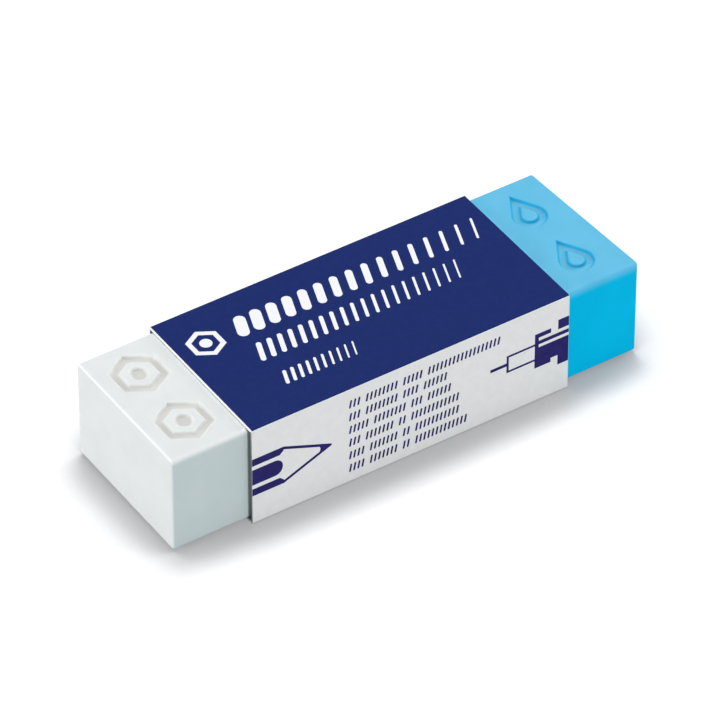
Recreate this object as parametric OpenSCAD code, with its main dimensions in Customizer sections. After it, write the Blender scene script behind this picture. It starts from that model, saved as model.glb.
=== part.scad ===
// Two-part rubber eraser in a sliding card sleeve.
// X runs along the eraser towards the blue end, the narrow side seen first faces -Y,
// and Z is up. The origin is under the middle of the eraser, on the sleeve's underside.

/* [Rubber block] */
// Length of the whole block, measured along its front edge
block_l = 65; // [60:0.5:80]
// Width of the block across its broad face
block_w = 20.8; // [18:0.1:30]
// Height of the block
block_h = 13.65; // [10:0.05:20]
// Where the white and the blue rubber are bonded, from the block's middle
bond_x = 0; // [-8:0.5:8]
// Radius of the four long edges, left by the rolled sheet
long_edge_r = 0.5; // [0.2:0.05:2]
// Radius of the edges round the two cut ends
cut_edge_r = 0.15; // [0.05:0.05:0.5]
// How far the knife ran out of square across the blue end
blue_cut_skew = 1.1; // [0:0.1:2]

/* [Pressed marks] */
// Height of a mark, across the flats of the hexagon
mark_size = 6.2; // [4:0.1:7]
// Width of the pressed line
mark_line = 1; // [0.5:0.1:1.4]
// Distance between the two marks on each end
mark_pitch = 9.8; // [8:0.1:14]
// Depth of the marks below the broad face
mark_depth = 0.35; // [0.1:0.05:0.8]

/* [Card sleeve] */
// Length of the sleeve
sleeve_l = 44.3; // [30:0.1:46]
// Length of white rubber that stands out of the sleeve
white_shown = 10.25; // [7.5:0.05:12]
// Thickness of the card
card_t = 0.3; // [0.2:0.05:0.3]
// Outer radius of the folds
fold_r = 0.35; // [0.35:0.05:1.5]
// Distance from the sleeve's top down to the end of the glue flap
flap_below_top = 3.2; // [2:0.1:8]
// Height of the outer back panel's free edge above the lower fold
lap_above_fold = 0.15; // [0.05:0.05:1]

/* [Clearances] */
// Running gap under the block
clear_under = 0.05; // [0.02:0.01:0.2]
// Gap over the block
clear_over = 0.1; // [0.05:0.05:0.5]
// Gap in front of the block, where the card stands a little proud
clear_front = 0.6; // [0.05:0.05:0.8]
// Running gap between the block and the glue flap
clear_back = 0.05; // [0.02:0.01:0.2]

/* [Hidden] */

white_rubber = [0.90, 0.92, 0.92];
blue_rubber = [0.36, 0.76, 0.92];
navy_card = [0.14, 0.19, 0.45];

// Steps in a quarter turn of the long edges, the cut edges and the card's folds
long_edge_steps = 6;
cut_edge_steps = 3;
fold_steps = 6;
// A cutter reaches this far past what it cuts
past = 1;

// The back has two layers of card, the outer panel and the glue flap inside it
sleeve_w = 3 * card_t + clear_front + block_w + clear_back;
sleeve_h = 2 * card_t + clear_under + block_h + clear_over;
front_y = -sleeve_w / 2;
back_y = sleeve_w / 2;
sleeve_x = -block_l / 2 + white_shown;

block_front = front_y + card_t + clear_front;
block_back = block_front + block_w;
block_bottom = card_t + clear_under;
block_top = block_bottom + block_h;
blue_shown = block_l - white_shown - sleeve_l;

// Points round part of a circle, from angle a0 to angle a1
function arc(cx, cy, r, a0, a1, steps) =
    [for (i = [0:steps]) let (a = a0 + (a1 - a0) * i / steps) [cx + r * cos(a), cy + r * sin(a)]];

// A rectangle with all four corners rounded
function rounded_box(x0, y0, x1, y1, r, steps) = concat(
    arc(x1 - r, y0 + r, r, -90, 0, steps), arc(x1 - r, y1 - r, r, 0, 90, steps),
    arc(x0 + r, y1 - r, r, 90, 180, steps), arc(x0 + r, y0 + r, r, 180, 270, steps));

// Plan of one half: square at the bond, and cut across at the angle that skew gives
function half_plan(reach, skew) =
    let (a = atan2(skew, block_w),
         knife = reach * cos(a) + block_front * sin(a),
         front = block_front + cut_edge_r,
         back = block_back - cut_edge_r)
    concat([[0, block_front]],
        arc((knife - cut_edge_r - front * sin(a)) / cos(a), front, cut_edge_r, -90, a, cut_edge_steps),
        arc((knife - cut_edge_r - back * sin(a)) / cos(a), back, cut_edge_r, a, 90, cut_edge_steps),
        [[0, block_back]]);

// A flat outline in Y and Z, drawn out along X
module along_x(length) {
    rotate([90, 0, 90]) linear_extrude(length) children();
}

// A flat outline in X and Z, drawn out along Y, from y0 to y1
module along_y(y0, y1) {
    translate([0, y1, 0]) rotate([90, 0, 0]) linear_extrude(y1 - y0) children();
}

// One half of the blank, from the bond at X = 0 to its cut end.
// The sheet gives the long edges, and the knife gives the edges round the end.
module half_blank(reach, skew) {
    intersection() {
        along_x(reach + past)
            polygon(rounded_box(block_front, block_bottom, block_back, block_top,
                                long_edge_r, long_edge_steps));
        linear_extrude(block_top + past)
            polygon(half_plan(reach, skew));
        translate([reach, block_front, 0]) rotate([0, 0, atan2(skew, block_w)])
            along_y(-reach, block_w + reach)
                polygon(rounded_box(-2 * reach, block_bottom, 0, block_top,
                                    cut_edge_r, cut_edge_steps));
    }
}

// A hexagon ring round a disc, like the end of a pencil, with two flats across the block
module pencil_mark() {
    across = mark_size / 2 / cos(30);
    rotate(30) difference() {
        circle(r = across, $fn = 6);
        circle(r = across - mark_line / cos(30), $fn = 6);
    }
    circle(d = mark_size / 3, $fn = 32);
}

// Outline of a drop: a circle drawn up to a point above it
function drop_outline(r, rise) =
    let (a = acos(r / rise))
    concat([[0, rise]], arc(0, 0, r, 90 + a, 450 - a, 28));

// A ring in the shape of a drop
module drop_mark() {
    r = mark_size / 3;
    inner = r - mark_line;
    translate([0, -mark_size / 6]) difference() {
        polygon(drop_outline(r, 2 * r));
        polygon(drop_outline(inner, 2 * inner));
    }
}

// Cutters for the pair of marks on the broad face of one end
module mark_pair(x) {
    for (side = [-1, 1])
        translate([x, (block_front + block_back + side * mark_pitch) / 2, block_top - mark_depth])
            linear_extrude(mark_depth + past) children();
}

// White rubber, for pencil
module white_half() {
    color(white_rubber) difference() {
        translate([bond_x, 0, 0]) mirror([1, 0, 0]) half_blank(block_l / 2 + bond_x, 0);
        mark_pair((white_shown - block_l) / 2) pencil_mark();
    }
}

// Blue rubber, for ink
module blue_half() {
    color(blue_rubber) difference() {
        translate([bond_x, 0, 0]) half_blank(block_l / 2 - bond_x, blue_cut_skew);
        mark_pair((block_l - blue_shown - blue_cut_skew) / 2) drop_mark();
    }
}

// Printed side of the card, from the free edge at the back, over the top,
// down the front, under the block and up behind it to the glue flap
function card_outside() = concat(
    [[back_y, fold_r + lap_above_fold]],
    arc(back_y - fold_r, sleeve_h - fold_r, fold_r, 0, 90, fold_steps),
    arc(front_y + fold_r, sleeve_h - fold_r, fold_r, 90, 180, fold_steps),
    arc(front_y + fold_r, fold_r, fold_r, 180, 270, fold_steps),
    arc(back_y - card_t - fold_r, fold_r, fold_r, 270, 360, fold_steps),
    [[back_y - card_t, fold_r + lap_above_fold]]);

// Plain side of the card, with the step at the end of the glue flap
function card_inside() =
    let (r = fold_r - card_t, flap_end = sleeve_h - flap_below_top)
    concat(
        [[back_y - card_t, flap_end]],
        arc(back_y - fold_r, sleeve_h - fold_r, r, 0, 90, fold_steps),
        arc(front_y + fold_r, sleeve_h - fold_r, r, 90, 180, fold_steps),
        arc(front_y + fold_r, fold_r, r, 180, 270, fold_steps),
        arc(back_y - card_t - fold_r, fold_r, r, 270, 360, fold_steps),
        [[back_y - 2 * card_t, flap_end]]);

// Card sleeve, one sheet folded four times and glued to its flap at the back
module sleeve() {
    color(navy_card) translate([sleeve_x, 0, 0]) along_x(sleeve_l) difference() {
        polygon(card_outside());
        polygon(card_inside());
    }
}

white_half();
blue_half();
sleeve();
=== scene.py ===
# %% [markdown]
# # A two-part rubber eraser in a card sleeve
#
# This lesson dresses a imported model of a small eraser. The block is soft vinyl rubber, white at
# one end for pencil and sky blue at the other for ink. A folded, printed card sleeve slides along it.
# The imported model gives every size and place, and the meshes here are worked out with numpy.

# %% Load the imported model
import math

import bpy
import numpy as np
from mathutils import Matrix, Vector


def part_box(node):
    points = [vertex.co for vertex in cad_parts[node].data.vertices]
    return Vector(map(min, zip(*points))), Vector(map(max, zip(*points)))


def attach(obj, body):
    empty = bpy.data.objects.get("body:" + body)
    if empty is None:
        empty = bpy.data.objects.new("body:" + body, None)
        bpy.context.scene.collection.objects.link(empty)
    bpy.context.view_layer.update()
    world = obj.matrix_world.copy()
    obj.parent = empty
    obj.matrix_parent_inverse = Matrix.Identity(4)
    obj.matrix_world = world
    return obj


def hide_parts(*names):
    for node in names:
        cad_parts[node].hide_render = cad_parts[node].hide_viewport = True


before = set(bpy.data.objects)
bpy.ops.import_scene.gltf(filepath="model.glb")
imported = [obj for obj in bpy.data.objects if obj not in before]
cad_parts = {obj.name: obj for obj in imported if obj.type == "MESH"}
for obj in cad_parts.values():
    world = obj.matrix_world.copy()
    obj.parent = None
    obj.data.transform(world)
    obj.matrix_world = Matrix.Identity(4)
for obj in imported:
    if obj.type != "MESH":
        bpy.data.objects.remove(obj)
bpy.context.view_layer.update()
MM = 0.001


def box_mm(node):
    """A node's lowest and highest corners at rest, in millimetres."""
    low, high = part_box(node)
    return np.array(low) / MM, np.array(high) / MM


WHITE_LOW, WHITE_HIGH = box_mm("white_half")
BLUE_LOW, BLUE_HIGH = box_mm("blue_half")
SLEEVE_LOW, SLEEVE_HIGH = box_mm("sleeve")
print("sleeve in mm:", SLEEVE_LOW.round(2), SLEEVE_HIGH.round(2))

# %% [markdown]
# ## The camera
#
# The photograph was taken from in front of the white end, from well above, with a long lens. The
# angles, the distance and the focal length were fitted to the straight edges that it shows.

# %% Place the camera
AZIMUTH, ELEVATION = -33.23, 40.61
DISTANCE_MM, LENS_MM, FILM_MM = 784.5, 333.2, 36
NEAR_M, FAR_M = 0.05, 20
AIM_MM = np.array([-0.22, -0.23, 7.0])


def direction(azimuth, elevation):
    """Unit vector from the object towards a viewer, from angles in degrees.

    Azimuth 0 is in front of the object, at -Y, and grows towards +X.
    """
    turn, rise = math.radians(azimuth), math.radians(elevation)
    flat = math.cos(rise)
    return np.array([math.sin(turn) * flat, -math.cos(turn) * flat, math.sin(rise)])


def add(name, data):
    """Links a new object to the scene."""
    thing = bpy.data.objects.new(name, data)
    bpy.context.scene.collection.objects.link(thing)
    return thing


def aim(thing, azimuth, elevation, distance_mm):
    """Puts a camera or lamp at a distance from AIM_MM, with its -Z axis towards it."""
    back = direction(azimuth, elevation)
    thing.location = Vector((AIM_MM + distance_mm * back) * MM)
    thing.rotation_euler = Vector(-back).to_track_quat("-Z", "Y").to_euler()


camera = add("camera", bpy.data.cameras.new("camera"))
camera.data.lens, camera.data.sensor_width = LENS_MM, FILM_MM
camera.data.clip_start, camera.data.clip_end = NEAR_M, FAR_M
aim(camera, AZIMUTH, ELEVATION, DISTANCE_MM)
bpy.context.scene.camera = camera
print("camera at", [round(v, 3) for v in camera.location])

# %% [markdown]
# ## One helper for every shape
#
# The block, the sleeve and each printed stroke have one thing in common: a closed outline that is
# carried along a path. So one function turns a grid of points into a closed solid, with one row
# for each station along the path. Several grids may share one mesh, as the strokes of a print do.

# %% Loft closed outlines
# Edges that turn by more than this, in degrees, stay crisp
SHARP_ABOVE = 40


def loft_faces(grid):
    """Faces of a closed solid from grid[station, corner, xyz].

    Quad (i, j) joins corners j and j + 1 of stations i and i + 1, and the last corner joins the
    first. A flat face closes each end. Every face, cut into a fan of triangles, makes a signed
    volume with the origin, and where their sum is negative all faces are turned over.
    """
    stations, corners, _ = grid.shape
    index = np.arange(stations * corners).reshape(stations, corners)
    after = np.roll(index, -1, axis=1)
    quads = np.stack([index[:-1], after[:-1], after[1:], index[1:]], axis=-1).reshape(-1, 4)
    caps = np.stack([index[0, ::-1], index[-1]])
    points = grid.reshape(-1, 3)
    volume = sum(
        np.einsum("fk,ftk->", fan[:, 0], np.cross(fan[:, 1:-1], fan[:, 2:]))
        for fan in (points[quads], points[caps]))
    if volume < 0:
        quads, caps = quads[:, ::-1], caps[:, ::-1]
    return quads, caps


def loft(name, *grids):
    """One mesh of closed solids, one for each grid of points in millimetres."""
    faces, start = [], 0
    for grid in grids:
        quads, caps = loft_faces(grid)
        faces += (quads + start).tolist() + (caps + start).tolist()
        start += grid.shape[0] * grid.shape[1]
    points = np.concatenate([grid.reshape(-1, 3) for grid in grids])
    mesh = bpy.data.meshes.new(name)
    mesh.from_pydata((points * MM).tolist(), [], faces)
    mesh.shade_smooth()
    mesh.set_sharp_from_angle(angle=math.radians(SHARP_ABOVE))
    mesh.update()
    print(name, "has", len(grids), "solids and", len(faces), "faces")
    return add(name, mesh)


print("edges sharper than", SHARP_ABOVE, "degrees stay crisp")

# %% [markdown]
# ## The pressed marks
#
# Each end of the block has two shallow marks that a stamp pressed in. Rubber doesn't keep sharp
# corners, so the walls of a mark are soft. They could be cut with a boolean, but that leaves hard
# edges. Here every point of the broad face gets a depth from its distance to the pressed line.

# %% Depth of the marks
MARK_SIZE, MARK_LINE, MARK_DEPTH, MARK_PITCH = 6.2, 1.0, 0.35, 9.8
WALL = 0.5


def smooth_step(x):
    """0 below 0 and 1 above 1, with 3x^2 - 2x^3 between."""
    x = np.clip(x, 0, 1)
    return x * x * (3 - 2 * x)


def groove(distance, half_line):
    """Depth of a groove: full in its middle, and gone half a wall's width past half_line."""
    return MARK_DEPTH * smooth_step((half_line + WALL / 2 - np.abs(distance)) / WALL)


def pencil_mark(x, y):
    """A hexagon ring round a disc. The hexagon's reach is the largest of three projections."""
    flats = np.radians([0, 60, 120])
    reach = np.max([np.abs(x * math.cos(a) + y * math.sin(a)) for a in flats], axis=0)
    ring = groove(reach - (MARK_SIZE - MARK_LINE) / 2, MARK_LINE / 2)
    return np.maximum(ring, groove(np.hypot(x, y), MARK_SIZE / 6))


def drop_mark(x, y):
    """A ring like a drop: round below, and drawn up to a point at twice its radius."""
    radius = MARK_SIZE / 3
    y = y + MARK_SIZE / 6
    side = np.abs(x) * math.cos(math.pi / 6) + y / 2
    reach = np.where(y > np.abs(x) * math.tan(math.pi / 6), side, np.hypot(x, y))
    return groove(reach - radius + MARK_LINE / 2, MARK_LINE / 2)


print("marks:", MARK_SIZE, "mm, pressed", MARK_DEPTH, "mm deep")

# %% [markdown]
# ## The rubber block
#
# The block is cut from a rolled sheet. The sheet leaves its four long edges round, and the knife
# leaves the two ends flat with a crisp edge. One half is an outline of the section, carried from the
# bond under the sleeve to the cut end. The last few stations shrink a little to break the edge.

# %% Outline of the section
LONG_EDGE = 0.5
CORNER_SAMPLES, SIDE_SAMPLES, TOP_SAMPLES = 9, 24, 300


def section(low, high):
    """A rounded rectangle in Y and Z, as points and outward normals.

    A point is LONG_EDGE times its normal away from a corner's centre, or from the line between two
    centres. The outline runs over the top to the front, down, under the block and up behind.
    """
    y0, z0 = low[1:] + LONG_EDGE
    y1, z1 = high[1:] - LONG_EDGE
    centres = np.array([[y1, z1], [y0, z1], [y0, z0], [y1, z0], [y1, z1]])
    places, angles = [], []
    for k, samples in enumerate((TOP_SAMPLES, SIDE_SAMPLES, SIDE_SAMPLES, SIDE_SAMPLES)):
        t = np.linspace(0, 1, samples, endpoint=False)[:, None]
        places += [centres[k] + (centres[k + 1] - centres[k]) * t,
                   np.tile(centres[k + 1], (CORNER_SAMPLES, 1))]
        facing = 90 * (k + 1)
        angles += [np.full(samples, facing),
                   np.linspace(facing, facing + 90, CORNER_SAMPLES, endpoint=False)]
    turn = np.radians(np.concatenate(angles))
    normals = np.column_stack([np.cos(turn), np.sin(turn)])
    return np.concatenate(places) + LONG_EDGE * normals, normals


print("the section has", len(section(WHITE_LOW, WHITE_HIGH)[0]), "points")

# %% Build the two halves
CUT_EDGE, CUT_STEPS = 0.28, 7
# The stations lie close from this far under the sleeve
UNDER_SLEEVE = 1.0
HIDDEN_STATIONS, SHOWN_STATIONS = 8, 160
SKEW = 1.1
# A normal that points up more than this belongs to the broad face
FACING_UP = 0.999


def block_half(name, low, high, shown, mark, skew=0.0):
    """One half, from the bond to the cut end, which is the one further from X = 0.

    The stations lie close together over the part that shows. The last ones follow a quarter turn
    of radius CUT_EDGE, so the outline shrinks by CUT_EDGE (1 - cos t) as x grows by CUT_EDGE sin t.
    With skew, each point's x is shortened in proportion to its place across the width. Two
    attributes serve the material: pressed is the share d of a mark's full depth, and wall is
    4 d (1 - d), which is 1 halfway down a wall.
    """
    way = -1 if abs(low[0]) > abs(high[0]) else 1
    reach = max(abs(low[0]), abs(high[0]))
    close_from = reach - shown - UNDER_SLEEVE
    turn = np.linspace(0, math.pi / 2, CUT_STEPS)
    along = np.concatenate([
        np.linspace(0, close_from, HIDDEN_STATIONS, endpoint=False),
        np.linspace(close_from, reach - CUT_EDGE, SHOWN_STATIONS, endpoint=False),
        reach - CUT_EDGE + CUT_EDGE * np.sin(turn)])
    shrink = np.zeros_like(along)
    shrink[-CUT_STEPS:] = CUT_EDGE * (1 - np.cos(turn))
    outline, normals = section(low, high)
    yz = outline[None] - shrink[:, None, None] * normals
    across = (outline[:, 0] - low[1]) / (high[1] - low[1])
    xs = way * along[:, None] * (1 - skew / reach * across)
    middle = way * (reach - shown / 2 - skew / 2), (low[1] + high[1]) / 2
    depth = sum(mark(xs - middle[0], yz[..., 0] - middle[1] + s * MARK_PITCH / 2) for s in (-1, 1))
    depth = np.where(normals[:, 1] > FACING_UP, depth, 0)
    yz[..., 1] -= depth
    piece = loft(name, np.concatenate([xs[..., None], yz], axis=-1))
    pressed = depth / MARK_DEPTH
    for title, values in (("pressed", pressed), ("wall", 4 * pressed * (1 - pressed))):
        attribute = piece.data.attributes.new(title, "FLOAT", "POINT")
        attribute.data.foreach_set("value", values.ravel().astype(np.float32))
    return piece


WHITE_SHOWN = SLEEVE_LOW[0] - WHITE_LOW[0]
BLUE_SHOWN = BLUE_HIGH[0] - SLEEVE_HIGH[0]
white = block_half("white_rubber", WHITE_LOW, WHITE_HIGH, WHITE_SHOWN, pencil_mark)
blue = block_half("blue_rubber", BLUE_LOW, BLUE_HIGH, BLUE_SHOWN, drop_mark, SKEW)

# %% [markdown]
# ## The card sleeve
#
# The sleeve is one sheet of coated card. It starts with a glue flap inside the back, goes under the
# block, up the front, over the top and down the back, where it's glued over its own flap. So the
# mesh is a strip: a sheet's outline in the X direction, carried round the folds.

# %% Fold the sheet
CARD, FOLD, HAIR = 0.30, 0.35, 0.02
FLAP_BELOW_TOP, LAP_ABOVE_FOLD = 3.2, 0.15
FOLD_SAMPLES, PANEL_SAMPLES = 10, 6
BACK, TOP, FRONT, UNDER, FLAP = range(5)


def straight(start, end, angle, panel):
    """Rows of (y, z, outward angle, panel) along a flat panel."""
    t = np.linspace(0, 1, PANEL_SAMPLES, endpoint=False)[:, None]
    places = np.array(start) + (np.array(end) - np.array(start)) * t
    return np.column_stack([places, np.full(PANEL_SAMPLES, angle), np.full(PANEL_SAMPLES, panel)])


def fold(y, z, angle, before, after):
    """The same rows round a quarter turn of radius FOLD. The print changes halfway."""
    angles = np.linspace(angle, angle + 90, FOLD_SAMPLES, endpoint=False)
    turn = np.radians(angles)
    panel = np.where(angles < angle + 45, before, after)
    return np.column_stack([y + FOLD * np.cos(turn), z + FOLD * np.sin(turn), angles, panel])


def fold_path():
    """The printed side of the sheet, from its free edge at the back to the end of the glue flap.

    HAIR keeps the glued layers apart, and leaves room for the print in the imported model's box.
    """
    y0, y1 = SLEEVE_LOW[1] + HAIR, SLEEVE_HIGH[1] - HAIR
    z0, z1 = SLEEVE_LOW[2] + HAIR, SLEEVE_HIGH[2] - HAIR
    inner = y1 - CARD - HAIR
    flap_end = z1 - FLAP_BELOW_TOP
    return np.vstack([
        straight((y1, z0 + FOLD + LAP_ABOVE_FOLD), (y1, z1 - FOLD), 0, BACK),
        fold(y1 - FOLD, z1 - FOLD, 0, BACK, TOP),
        straight((y1 - FOLD, z1), (y0 + FOLD, z1), 90, TOP),
        fold(y0 + FOLD, z1 - FOLD, 90, TOP, FRONT),
        straight((y0, z1 - FOLD), (y0, z0 + FOLD), 180, FRONT),
        fold(y0 + FOLD, z0 + FOLD, 180, FRONT, UNDER),
        straight((y0 + FOLD, z0), (inner - FOLD, z0), 270, UNDER),
        fold(inner - FOLD, z0 + FOLD, 270, UNDER, FLAP),
        straight((inner, z0 + FOLD), (inner, flap_end), 360, FLAP),
        [[inner, flap_end, 360, FLAP]],
    ])


FLAT_WIDTH = np.linalg.norm(np.diff(fold_path()[:, :2], axis=0), axis=1).sum()
print("the printed side is", round(FLAT_WIDTH, 1), "mm wide when it lies flat")

# %% Build the sheet
PALE, NAVY, BARE, GREY = 0, 1, 2, 3
PRINT_OF_PANEL = np.array([PALE, NAVY, PALE, NAVY, BARE])
PRINT_MARGIN = 0.09
LENGTH_SAMPLES = 45


def card_sheet(name):
    """At each station of the fold path, a flat ring goes along the printed side, over one cut
    edge, back along the plain side and over the other cut edge. The plain side lies CARD
    inside the printed one, along its normal. The ink of the top panel stops one column short
    of the left cut, and on the front panel that cut is grey, as painted shade."""
    path = fold_path()
    turn = np.radians(path[:, 2])
    printed = path[:, :2]
    plain = printed - CARD * np.column_stack([np.cos(turn), np.sin(turn)])
    xs = np.linspace(SLEEVE_LOW[0] + PRINT_MARGIN, SLEEVE_HIGH[0], LENGTH_SAMPLES - 1)
    xs = np.append(SLEEVE_LOW[0], xs)
    ring_x = np.broadcast_to(np.concatenate([xs, xs[::-1]]), (len(path), 2 * LENGTH_SAMPLES))
    yz = np.stack([printed, plain], axis=1).repeat(LENGTH_SAMPLES, axis=1)
    piece = loft(name, np.concatenate([ring_x[..., None], yz], axis=-1))
    panel = path[:-1, 3].astype(int)
    looks = np.full((len(panel), 2 * LENGTH_SAMPLES), BARE)
    looks[:, :LENGTH_SAMPLES - 1] = PRINT_OF_PANEL[panel][:, None]
    looks[:, LENGTH_SAMPLES:-1] = GREY
    looks[panel == TOP, 0] = BARE
    # Painted shade: the front panel's left cut edge is grey
    looks[panel == FRONT, -1] = GREY
    piece.data.polygons.foreach_set("material_index", np.append(looks, [BARE, BARE]).astype(np.int32))
    return piece


sleeve = card_sheet("card_sleeve_sheet")

# %% [markdown]
# ## Print
#
# Ink has hardly any thickness, but a thin plate keeps a crisp edge in every export, where a
# painted map would blur. Each plate is a flat outline in the panel's own plane, lofted between
# the card and a height just above it. Most plates are plain strokes with half-round ends.

# %% Plates of ink
INK = 0.012
TOP_Z = SLEEVE_HIGH[2] - HAIR
FRONT_Y = SLEEVE_LOW[1] + HAIR
END_SAMPLES = 9


def on_top(flat):
    """A plate on the top panel, from an outline in X and Y."""
    low = np.column_stack([flat, np.full(len(flat), TOP_Z - INK)])
    return np.stack([low, low + [0, 0, 2 * INK]])


def on_front(flat):
    """A plate on the front panel, from an outline in X and Z."""
    low = np.column_stack([flat[:, 0], np.full(len(flat), FRONT_Y + INK), flat[:, 1]])
    return np.stack([low, low - [0, 2 * INK, 0]])


def stroke(start, end, weight):
    """A line of one weight with half-round ends: half a circle round each end, from side to side."""
    start, end = np.array(start, float), np.array(end, float)
    heading = math.atan2(*(end - start)[::-1])
    half = np.linspace(-math.pi / 2, math.pi / 2, END_SAMPLES)
    turn = heading + np.concatenate([half, half + math.pi])
    centres = np.repeat([end, start], END_SAMPLES, axis=0)
    return centres + weight / 2 * np.column_stack([np.cos(turn), np.sin(turn)])


def disc(x, y, radius):
    """A round outline."""
    turn = np.linspace(0, 2 * math.pi, 4 * END_SAMPLES, endpoint=False)
    return np.array([x, y]) + radius * np.column_stack([np.cos(turn), np.sin(turn)])


print("ink stands", round(INK, 3), "mm above the card")

# %% [markdown]
# The top panel is navy with a white design of our own: three rows of pencil hatching that gets
# lighter from left to right, as if it were being rubbed out, and a badge like the end of a pencil.
# The same hatching, much finer, fills six rows on the front panel.

# %% Hatching on the top panel
TOP_LEAN = 0.36
HATCH_ROWS = [
    # x0, x1, base, height, first weight, last weight, pitch
    (-14.3, 18.9, 3.45, 3.6, 1.50, 0.30, 2.21),
    (-14.5, 13.0, -1.45, 3.2, 0.66, 0.22, 1.45),
    (-14.3, -5.0, -6.40, 2.3, 0.46, 0.20, 1.06),
]
BADGE_X, BADGE_Y, BADGE_SIZE, BADGE_LINE = -18.3, 4.9, 4.2, 0.62
BADGE_DISC = BADGE_SIZE / 5.4


def hatch(x0, x1, base, height, heavy, light, pitch, lean):
    """Slanted strokes between two heights. Stroke i stands at x0 + i pitch, and its weight goes
    in even steps from heavy to light. Its round ends stay between the two heights."""
    count = int(round((x1 - x0) / pitch)) + 1
    outlines = []
    for i, weight in enumerate(np.linspace(heavy, light, count)):
        foot = np.array([x0 + i * pitch + weight / 2, base + weight / 2])
        rise = height - weight
        outlines.append(stroke(foot, foot + [lean * rise, rise], weight))
    return outlines


def badge(x, y, size, line, disc_radius):
    """A hexagon ring, as six plates, round a disc. Its corners lie 1 / cos 30 degrees further
    from the middle than its sides."""
    corner = np.radians(np.arange(0, 361, 60) + 30)
    ring = np.column_stack([np.cos(corner), np.sin(corner)]) / math.cos(math.pi / 6)
    outer, inner = size / 2 * ring + [x, y], (size / 2 - line) * ring + [x, y]
    sides = [np.array([outer[k], outer[k + 1], inner[k + 1], inner[k]]) for k in range(6)]
    return sides + [disc(x, y, disc_radius)]


white_shapes = badge(BADGE_X, BADGE_Y, BADGE_SIZE, BADGE_LINE, BADGE_DISC)
for row in HATCH_ROWS:
    white_shapes += hatch(*row, TOP_LEAN)
top_print = loft("top_print", *map(on_top, white_shapes))

# %% Fine hatching on the front panel
FIRST_ROW, ROW_PITCH, ROW_LEFT = 11.45, 1.96, -8.9
TICK_HEIGHT, TICK_WEIGHT, TICK_PITCH, TICK_LEAN = 1.2, 0.26, 0.575, 0.18
RUN_GAP = 0.9
# Strokes in each run of each row
RUNS = [
    (3, 8, 5, 18), (3, 8, 4, 6), (5, 8, 3, 6),
    (3, 7, 2, 12), (4, 7, 2, 11), (4, 7, 2, 13),
]


def fine_rows():
    """Six rows of runs. In each row a run starts RUN_GAP after the last stroke of the one before."""
    outlines = []
    for row, counts in enumerate(RUNS):
        x = ROW_LEFT
        for count in counts:
            end = x + (count - 1) * TICK_PITCH
            outlines += hatch(x, end, FIRST_ROW - row * ROW_PITCH, TICK_HEIGHT,
                              TICK_WEIGHT, TICK_WEIGHT, TICK_PITCH, TICK_LEAN)
            x = end + TICK_WEIGHT + RUN_GAP
    return outlines


print("fine strokes:", len(fine_rows()))

# %% Pictograms on the front panel
PRINT_INSET = 0.02
PANEL_LEFT, PANEL_RIGHT = SLEEVE_LOW[0] + PRINT_INSET, SLEEVE_HIGH[0] - PRINT_INSET
PENCIL_Z, PENCIL_HALF, PENCIL_CORE = 7.2, 2.8, 1.15
BAND, OUTLINE = 1.05, 0.42
SHOULDER, LEAD_START, LEAD_END, PENCIL_TIP = -17.9, -13.3, -11.4, -11.0
NOTCH_LENGTH, NOTCH_HEIGHT, CORE_BLUNTNESS = 0.55, 0.5, 0.9
WOOD_BULGE, LEAD_BULGE = 0.45, 0.12
PEN_LINE = 0.3


def mirrored(flat):
    """The same outline on the other side of the pencil's axis."""
    return np.column_stack([flat[:, 0], 2 * PENCIL_Z - flat[:, 1]])


def pencil_pictogram():
    """A sharpened pencil from the left edge: a core and two bands, the cone and the lead.

    The cone's half height falls in proportion from the shoulder to the tip. The lead is a row
    of quads between two curves, because a plate's outline mustn't be hollow. Behind it the wood
    bulges by WOOD_BULGE times the square root of 1 - s^2, with s from -1 to 1 across the wood.
    """
    def cone(x):
        return PENCIL_HALF * (PENCIL_TIP - x) / (PENCIL_TIP - SHOULDER)

    top, low = PENCIL_Z + PENCIL_HALF, PENCIL_Z + PENCIL_HALF - BAND
    band = np.array([
        (PANEL_LEFT, low), (SHOULDER - NOTCH_LENGTH, low), (SHOULDER, low + NOTCH_HEIGHT),
        (SHOULDER, top), (PANEL_LEFT, top)])
    edge = np.array([
        (SHOULDER, top), (SHOULDER, top - OUTLINE),
        (LEAD_START, PENCIL_Z + cone(LEAD_START) - OUTLINE), (LEAD_START, PENCIL_Z + cone(LEAD_START))])
    core_end = SHOULDER - PENCIL_CORE
    turn = np.linspace(-math.pi / 2, math.pi / 2, END_SAMPLES)
    nose = np.column_stack([core_end + CORE_BLUNTNESS * PENCIL_CORE * np.cos(turn),
                            PENCIL_Z + PENCIL_CORE * np.sin(turn)])
    core = np.vstack([
        nose, [(PANEL_LEFT, PENCIL_Z + PENCIL_CORE), (PANEL_LEFT, PENCIL_Z - PENCIL_CORE)]])
    wood = 1 - OUTLINE / cone(LEAD_START)
    share = np.concatenate([[-1], wood * np.sin(turn), [1]])
    back_x = LEAD_START + WOOD_BULGE * np.sqrt(np.clip(1 - (share / wood) ** 2, 0, 1))
    blunt_x = LEAD_END + LEAD_BULGE * (1 - share ** 2)
    back = np.column_stack([back_x, PENCIL_Z + cone(LEAD_START) * share])
    blunt = np.column_stack([blunt_x, PENCIL_Z + cone(LEAD_END) * share])
    lead = [np.array([back[k], back[k + 1], blunt[k + 1], blunt[k]]) for k in range(len(share) - 1)]
    return [band, mirrored(band), edge, mirrored(edge), core] + lead


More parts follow.
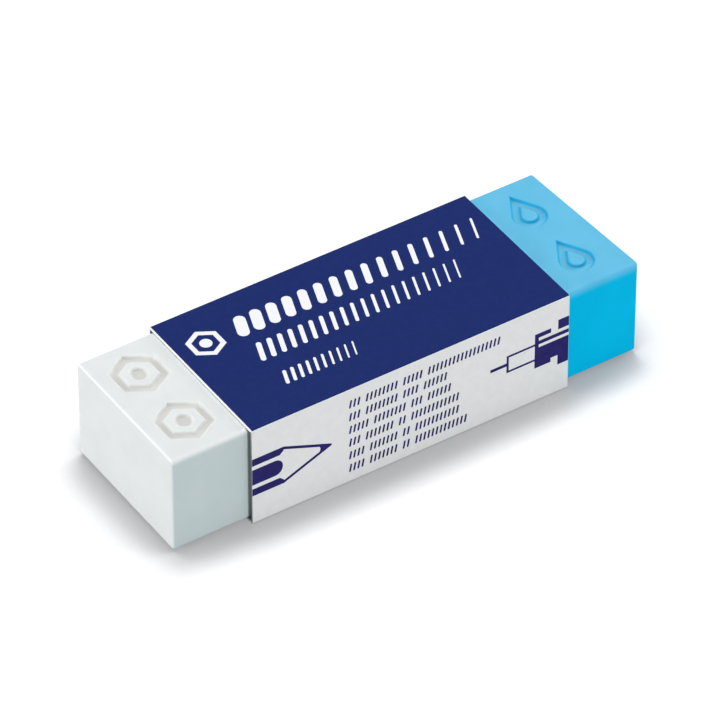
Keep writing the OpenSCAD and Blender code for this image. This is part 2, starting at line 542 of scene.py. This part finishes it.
def pen_pictogram():
    """A technical pen towards the right edge: needle, open point, collar and barrel.

    It is made of upright rectangles, each from its lower left to its upper right corner.
    """
    hollow_from = 13.2 + PEN_LINE
    corners = np.array([
        (10.9, 7.54, 13.2, 7.99),
        (13.2, 6.46, hollow_from, 9.07),
        (hollow_from, 9.07 - PEN_LINE, 17.2, 9.07),
        (hollow_from, 6.46, 17.2, 6.46 + PEN_LINE),
        (17.2, 5.3, 19.5, 8.35),
        (19.5, 5.9, 20.5, 8.35),
        (20.5, 4.4, PANEL_RIGHT, 8.35),
        (17.2, 8.35, 17.75, 10.5),
        (17.75, 8.8, PANEL_RIGHT, 9.35),
        (17.75, 9.85, 19.5, 10.5),
        (20.5, 9.85, PANEL_RIGHT, 11.3),
    ])
    return list(corners[:, [[0, 1], [2, 1], [2, 3], [0, 3]]])


dark_shapes = fine_rows() + pencil_pictogram() + pen_pictogram()
front_print = loft("front_print", *map(on_front, dark_shapes))

# %% [markdown]
# ## Materials
#
# All patterns read Object coordinates, which are metres in the model's own frame. A colour is
# written as it looks on a screen, and a helper turns it into the scene's linear values.

# %% Helpers for materials
PATCH_EDGE = 0.35, 0.65


def linear(red, green, blue):
    """A screen colour from 0 to 255 as scene-linear values, by the curve of the sRGB standard."""
    c = np.array([red, green, blue]) / 255
    return (*np.where(c <= 0.04045, c / 12.92, ((c + 0.055) / 1.055) ** 2.4), 1.0)


def new_material(name, roughness, specular):
    """A material, with its node tree, its shader and its Object coordinates."""
    material = bpy.data.materials.new(name)
    material.use_nodes = True
    tree = material.node_tree
    shader = tree.nodes["Principled BSDF"]
    shader.inputs["Roughness"].default_value = roughness
    shader.inputs["Specular IOR Level"].default_value = specular
    place = tree.nodes.new("ShaderNodeTexCoord").outputs["Object"]
    return material, tree, shader, place


def noise(tree, place, per_mm, detail):
    """Noise with so many cells to a millimetre."""
    node = tree.nodes.new("ShaderNodeTexNoise")
    node.inputs["Scale"].default_value = per_mm / MM
    node.inputs["Detail"].default_value = detail
    tree.links.new(place, node.inputs["Vector"])
    return node.outputs["Fac"]


def fade(tree, value, start, end):
    """0 at start and 1 at end, with a smooth step between."""
    node = tree.nodes.new("ShaderNodeMapRange")
    node.interpolation_type = "SMOOTHSTEP"
    node.inputs["From Min"].default_value, node.inputs["From Max"].default_value = start, end
    tree.links.new(value, node.inputs["Value"])
    return node.outputs["Result"]


def calculate(tree, operation, first, second):
    """One step of arithmetic. Each side is a socket or a number."""
    node = tree.nodes.new("ShaderNodeMath")
    node.operation = operation
    for socket, side in zip(node.inputs, (first, second)):
        if isinstance(side, (int, float)):
            socket.default_value = side
        else:
            tree.links.new(side, socket)
    return node.outputs[0]


def blend_colours(tree, factor, first, second):
    """A mix of two colours. Each is a socket or four numbers.

    A Mix node takes colours at its inputs 6 and 7, and gives one at its output 2.
    """
    node = tree.nodes.new("ShaderNodeMix")
    node.data_type = "RGBA"
    tree.links.new(factor, node.inputs["Factor"])
    for socket, colour in zip((node.inputs[6], node.inputs[7]), (first, second)):
        if isinstance(colour, tuple):
            socket.default_value = colour
        else:
            tree.links.new(colour, socket)
    return node.outputs[2]


def patches(tree, place, per_mm, detail):
    """Soft patches of 0 and 1, which meet over the middle of the noise's range."""
    return fade(tree, noise(tree, place, per_mm, detail), *PATCH_EDGE)


def bump(tree, shader, height, distance_mm):
    """Bump of a real height."""
    node = tree.nodes.new("ShaderNodeBump")
    node.inputs["Distance"].default_value = distance_mm * MM
    tree.links.new(height, node.inputs["Height"])
    tree.links.new(node.outputs["Normal"], shader.inputs["Normal"])


print("helpers for materials are ready")

# %% [markdown]
# ## Rubber
#
# Soft vinyl is matt and a little translucent. The broad faces and cut ends are painted paler, as a
# painted sheen, and the narrow sides get the stronger tint as painted shade, which fades in below the
# top. The pressed marks get painted shade: a darker floor on the white half and darker walls on the
# blue. Along the top edge of the cut end, the white half gets a painted highlight and the blue half a
# painted darker line. A painted map would need an image, so the colour is mixed by the distance
# from a side, the top and the end. A slow mottle and a fine tooth keep it from looking like film.

# %% Rubber
RUBBER_ROUGHNESS, BLOOM_PER_MM, BLOOM_DETAIL = 0.65, 0.22, 4
TOOTH_PER_MM, TOOTH_DETAIL, TOOTH_MM = 4.0, 3, 0.012
SCATTER_SHARE, SCATTER_MM = 0.2, 0.5
# Reach of the painted side shade from a side, and of the painted colour on the cut edge from the end
# and the top
SIDE_REACH, END_REACH, TOP_REACH = 0.3, 0.32, 0.30
BLOCK_TOP = WHITE_HIGH[2]
BLOCK_MIDDLE = (WHITE_LOW[1] + WHITE_HIGH[1]) / 2
HALF_WIDTH = (WHITE_HIGH[1] - WHITE_LOW[1]) / 2


def away_from(tree, coordinate, place_mm):
    """How far a coordinate lies from a place, in metres: the size of their difference."""
    difference = calculate(tree, "SUBTRACT", coordinate, place_mm * MM)
    return calculate(tree, "ABSOLUTE", difference, 0)


def rubber(name, painted_sheen_pair, side, edge, pressed, wall, end_x, side_shade_fade_mm, scatter, specular):
    """Matt vinyl. Of the two pairs of screen colours, for the mottle's two ends, the first paints the
    broad faces and cut ends paler as painted sheen, and side paints the narrow sides as painted shade.
    edge paints the top edge of the cut end, lighter as a painted highlight on the white half and darker
    as painted shade on the blue. pressed and wall are single colours for the floor and the walls of the
    marks, which paint shade there: a darker floor on the white half and darker walls on the blue.
    end_x is the place of the cut end, in millimetres."""
    material, tree, shader, place = new_material(name, RUBBER_ROUGHNESS, specular)
    split = tree.nodes.new("ShaderNodeSeparateXYZ")
    tree.links.new(place, split.inputs[0])
    x, y, z = split.outputs
    off_middle, below_top = away_from(tree, y, BLOCK_MIDDLE), away_from(tree, z, BLOCK_TOP)
    on_side = fade(tree, off_middle, (HALF_WIDTH - SIDE_REACH) * MM, HALF_WIDTH * MM)
    # Painted shade: the narrow sides take the side colour, fading in below the top
    side_shade_mask = calculate(tree, "MULTIPLY", on_side, fade(tree, below_top, 0, side_shade_fade_mm * MM))
    mottle = patches(tree, place, BLOOM_PER_MM, BLOOM_DETAIL)
    # Painted sheen: the paler colour of the broad faces and cut ends
    painted_sheen_tint = blend_colours(tree, mottle, linear(*painted_sheen_pair[0]), linear(*painted_sheen_pair[1]))
    # Painted shade: the deeper colour of the narrow sides
    side_shade_tint = blend_colours(tree, mottle, linear(*side[0]), linear(*side[1]))
    # Painted highlight on the white half and painted darker line on the blue, along the top edge of the
    # cut end
    by_end = fade(tree, away_from(tree, x, end_x), END_REACH * MM, 0)
    painted_edge_mask = calculate(tree, "MULTIPLY", by_end, fade(tree, below_top, TOP_REACH * MM, 0))
    tint = blend_colours(tree, side_shade_mask, painted_sheen_tint, side_shade_tint)
    tint = blend_colours(tree, painted_edge_mask, tint, linear(*edge))
    # Painted shade in the marks: a darker floor on the white half and darker walls on the blue
    for title, colour in (("pressed", pressed), ("wall", wall)):
        attribute = tree.nodes.new("ShaderNodeAttribute")
        attribute.attribute_name = title
        tint = blend_colours(tree, attribute.outputs["Fac"], tint, linear(*colour))
    tree.links.new(tint, shader.inputs["Base Color"])
    shader.inputs["Subsurface Weight"].default_value = SCATTER_SHARE
    shader.inputs["Subsurface Radius"].default_value = scatter
    shader.inputs["Subsurface Scale"].default_value = SCATTER_MM * MM
    bump(tree, shader, noise(tree, place, TOOTH_PER_MM, TOOTH_DETAIL), TOOTH_MM)
    return material


# White half: painted sheen on the broad faces, painted shade on the sides and in the marks, and a
# painted highlight on the cut edge
white_vinyl = rubber(
    "white_vinyl", painted_sheen_pair=((227, 231, 231), (230, 234, 235)), side=((189, 202, 204), (192, 205, 207)),
    edge=(253, 255, 254), pressed=(221, 221, 218), wall=(228, 229, 227), end_x=WHITE_LOW[0],
    side_shade_fade_mm=0.9, scatter=(1.0, 0.9, 0.85), specular=0.15)
# Blue half: painted sheen on the broad faces, painted shade on the sides and in the marks, and a
# painted darker line on the cut edge
blue_vinyl = rubber(
    "blue_vinyl", painted_sheen_pair=((102, 190, 227), (107, 194, 231)), side=((0, 180, 226), (0, 184, 230)),
    edge=(88, 178, 214), pressed=(108, 197, 233), wall=(30, 168, 216), end_x=BLUE_HIGH[0],
    side_shade_fade_mm=1.5, scatter=(0.3, 0.8, 1.0), specular=0.03)
white.data.materials.append(white_vinyl)
blue.data.materials.append(blue_vinyl)
print("rubber:", white_vinyl.name, blue_vinyl.name)

# %% [markdown]
# ## Card and ink
#
# Coated card is smoother than rubber, with a faint mottle in the print and a shallow tooth from the
# fibres. Its plain side is uncoated grey board, which is rougher, and whose grey also keeps the slit in
# front of the block dark. The cut edges are bare, except the left one of the front panel, which is
# grey as painted shade. The ink of the top stops a hair short of the left cut. Each face of the sheet
# gets its own material, because a pattern across the fold would blur the line where one print ends.

# %% Card and ink
PRINT_PER_MM, PRINT_DETAIL = 1.3, 5
FIBRES_PER_MM, FIBRES_DETAIL = 2.2, 4


def card(name, low, high, roughness, specular, tooth_mm):
    """Card or ink on card, between two screen colours."""
    material, tree, shader, place = new_material(name, roughness, specular)
    mottle = patches(tree, place, PRINT_PER_MM, PRINT_DETAIL)
    colour = blend_colours(tree, mottle, linear(*low), linear(*high))
    tree.links.new(colour, shader.inputs["Base Color"])
    bump(tree, shader, noise(tree, place, FIBRES_PER_MM, FIBRES_DETAIL), tooth_mm)
    return material


pale_card = card("pale_card", (220, 222, 223), (223, 225, 226), 0.55, 0.25, 0.003)
navy_ink = card("navy_ink", (14, 36, 100), (17, 39, 103), 0.55, 0.08, 0.003)
bare_card = card("bare_card", (244, 245, 247), (250, 251, 252), 0.85, 0.15, 0.01)
grey_card = card("grey_card", (128, 131, 134), (140, 143, 145), 0.9, 0.15, 0.02)
white_ink = card("white_on_navy", (242, 243, 246), (245, 246, 249), 0.5, 0.25, 0.003)
indigo_ink = card("indigo_ink", (30, 25, 88), (35, 30, 96), 0.55, 0.08, 0.003)

for look in (pale_card, navy_ink, bare_card, grey_card):
    sleeve.data.materials.append(look)
top_print.data.materials.append(white_ink)
front_print.data.materials.append(indigo_ink)
print("card:", [look.name for look in sleeve.data.materials])
print("ink:", white_ink.name, indigo_ink.name)

# %% [markdown]
# ## Stage and light
#
# The photograph has a white ground and an even, soft shadow close round the object. More light
# would make the ground white, but it would also wash out the colours. So the floor is a plain plane
# with two looks. The camera, reflections and glass see a white glow mixed with its own shading,
# darker where the object closes it in within a centimetre. All other rays meet a plain grey.

# %% Rays that see the background
def seen_directly(tree):
    """1 for rays from the camera, a reflection or glass, and 0 for rays that gather light."""
    rays = tree.nodes.new("ShaderNodeLightPath").outputs
    on_surfaces = calculate(tree, "MAXIMUM", rays["Is Camera Ray"], rays["Is Glossy Ray"])
    return calculate(tree, "MAXIMUM", on_surfaces, rays["Is Transmission Ray"])


print("the ground is white to camera, glossy and transmission rays")

# %% Floor
FLOOR_HALF = 2.0
SHADOW_REACH_MM, SHADOW_SAMPLES, SHADOW_BLUE = 9.0, 16, 1.01
# How open the floor is to the sky, and how bright it looks there
SHADOW_STOPS = [(0.50, 0.56), (0.64, 0.58), (0.74, 0.74), (0.84, 0.92), (0.94, 1.0)]
FLOOR_GLOW, FLOOR_SHARE, FLOOR_GREY = 0.49, 0.61, 0.55


def floor():
    """A plane whose colour, where it's seen directly, follows the ambient occlusion."""
    mesh = bpy.data.meshes.new("floor")
    corners = FLOOR_HALF * np.array([[-1, -1, 0], [1, -1, 0], [1, 1, 0], [-1, 1, 0]])
    mesh.from_pydata(corners.tolist(), [], [[0, 1, 2, 3]])
    plane = add("floor", mesh)
    material = bpy.data.materials.new("floor")
    material.use_nodes = True
    nodes, links = material.node_tree.nodes, material.node_tree.links
    nodes.remove(nodes["Principled BSDF"])
    closed_in = nodes.new("ShaderNodeAmbientOcclusion")
    closed_in.samples = SHADOW_SAMPLES
    closed_in.inputs["Distance"].default_value = SHADOW_REACH_MM * MM
    shade = nodes.new("ShaderNodeValToRGB")
    shade.color_ramp.interpolation = "B_SPLINE"
    stops = shade.color_ramp.elements
    while len(stops) < len(SHADOW_STOPS):
        stops.new(1.0)
    for stop, (open_share, level) in zip(stops, SHADOW_STOPS):
        stop.position, stop.color = open_share, (level, level, level * SHADOW_BLUE, 1)
    glow, seen, real = (
        nodes.new(f"ShaderNode{kind}") for kind in ("Emission", "BsdfDiffuse", "BsdfDiffuse"))
    glow.inputs["Strength"].default_value = FLOOR_GLOW
    shaded = nodes.new("ShaderNodeVectorMath")
    shaded.operation = "SCALE"
    shaded.inputs["Scale"].default_value = FLOOR_SHARE
    links.new(shade.outputs["Color"], shaded.inputs[0])
    real.inputs["Color"].default_value = (FLOOR_GREY, FLOOR_GREY, FLOOR_GREY, 1)
    half, pick = nodes.new("ShaderNodeAddShader"), nodes.new("ShaderNodeMixShader")
    links.new(closed_in.outputs["AO"], shade.inputs["Fac"])
    links.new(shade.outputs["Color"], glow.inputs["Color"])
    links.new(shaded.outputs["Vector"], seen.inputs["Color"])
    links.new(glow.outputs[0], half.inputs[0])
    links.new(seen.outputs[0], half.inputs[1])
    links.new(seen_directly(material.node_tree), pick.inputs[0])
    links.new(real.outputs[0], pick.inputs[1])
    links.new(half.outputs[0], pick.inputs[2])
    links.new(pick.outputs[0], nodes["Material Output"].inputs["Surface"])
    plane.data.materials.append(material)


floor()
print("floor:", 2 * FLOOR_HALF, "m wide")

# %% [markdown]
# An even sky lights the object from all round. A small lamp high behind it throws the short shadow
# that lies in front. Lamps near the ground at the left, the right and the front then bring each
# side up to its level in the photograph, and the top gets less of them beside the sleeve's edge.

# %% Sky and lamps
SKY_STRENGTH = 0.35
# Azimuth, elevation, distance and side in millimetres, and level
LAMPS = {
    "over": (163, 75, 600, 145, 0.44),
    "left": (-100, 12, 600, 200, 0.517),
    "right": (100, 18, 600, 200, 0.40),
    "front": (0, 4, 600, 90, 0.485),
}


def sky(strength):
    """Even light from all round, and plain white where it's seen directly past the floor."""
    world = bpy.data.worlds.new("sky")
    bpy.context.scene.world = world
    world.use_nodes = True
    nodes, links = world.node_tree.nodes, world.node_tree.links
    light, seen = nodes["Background"], nodes.new("ShaderNodeBackground")
    mix = nodes.new("ShaderNodeMixShader")
    for background, level in ((light, strength), (seen, 1.0)):
        background.inputs["Color"].default_value = (1, 1, 1, 1)
        background.inputs["Strength"].default_value = level
    links.new(seen_directly(world.node_tree), mix.inputs[0])
    links.new(light.outputs[0], mix.inputs[1])
    links.new(seen.outputs[0], mix.inputs[2])
    links.new(mix.outputs[0], nodes["World Output"].inputs["Surface"])


def lamp(name, azimuth, elevation, distance_mm, size_mm, level):
    """A square lamp that faces the object.

    A white surface turned to it renders at level: its power is level times pi squared times
    the distance squared.
    """
    data = bpy.data.lights.new(name, "AREA")
    data.shape, data.size = "SQUARE", size_mm * MM
    data.energy = level * math.pi ** 2 * (distance_mm * MM) ** 2
    aim(add(name, data), azimuth, elevation, distance_mm)


sky(SKY_STRENGTH)
for name, settings in LAMPS.items():
    lamp(name, *settings)
print("lamps:", list(LAMPS))

# %% [markdown]
# ## What rides on what
#
# The two rubbers are one body. The sheet and its print are the other, which slides along the block.
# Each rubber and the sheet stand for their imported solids.

# %% Tie the pieces to the frame
for piece, body, material_slot in (
    (white, "block", "white_rubber"),
    (blue, "block", "blue_rubber"),
    (sleeve, "card_sleeve", "printed_card"),
    (top_print, "card_sleeve", "printed_card"),
    (front_print, "card_sleeve", "printed_card"),
):
    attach(piece, body)
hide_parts("white_half")
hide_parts("blue_half")
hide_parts("sleeve")
print("tied:", [piece.name for piece in (white, blue, sleeve, top_print, front_print)])

# %% [markdown]
# ## Colours
#
# The Standard view shows each colour as it was written.

# %% Colours as written
bpy.context.scene.view_settings.view_transform = "Standard"
print("colours are shown by the", bpy.context.scene.view_settings.view_transform, "view")
